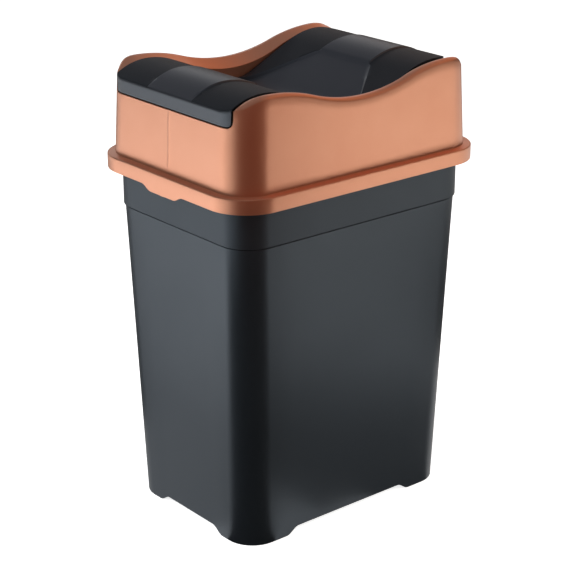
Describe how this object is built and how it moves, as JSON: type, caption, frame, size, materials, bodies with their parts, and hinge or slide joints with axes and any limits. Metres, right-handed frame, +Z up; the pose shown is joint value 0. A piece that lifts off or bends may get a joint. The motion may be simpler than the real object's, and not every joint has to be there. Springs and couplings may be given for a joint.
{
  "type": "swing-lid trash can",
  "caption": "Tapered rectangular household trash can with a lift-off lid frame and a wave-shaped flap that rocks on hidden hinge pins to let rubbish in.",
  "frame": {"origin": "middle of the footprint on the floor, under the bucket's feet", "axes": "+Z up, +X to the right seen from the front, where the lip faces -Y, +Y to the back"},
  "size_m": [0.225, 0.3, 0.436],
  "materials": {
    "bucket_polypropylene": "satin moulded anthracite, fine texture on the upper band",
    "copper_plastic": "satin moulded plastic with copper metallic pigment",
    "flap_polypropylene": "moulded anthracite, grained wings and a smoother raised middle band and sunken panel",
    "pin_acetal": "smooth turned or moulded acetal"
  },
  "bodies": {
    "bucket": {"bucket": "bucket_polypropylene"},
    "lid": {"lid_frame": "copper_plastic", "hinge_pin_left": "pin_acetal", "hinge_pin_right": "pin_acetal"},
    "flap": {"swing_flap": "flap_polypropylene"}
  },
  "joints": [
    {"name": "lid_lift", "type": "slide", "parent": "bucket", "child": "lid", "axis": [0, 0, 1], "range_m": [0, 0.08]},
    {"name": "flap_swing", "type": "hinge", "parent": "lid", "child": "flap", "pos_m": [0, 0.01, 0.3873], "axis": [-1, 0, 0], "range_deg": [0, 60]}
  ]
}
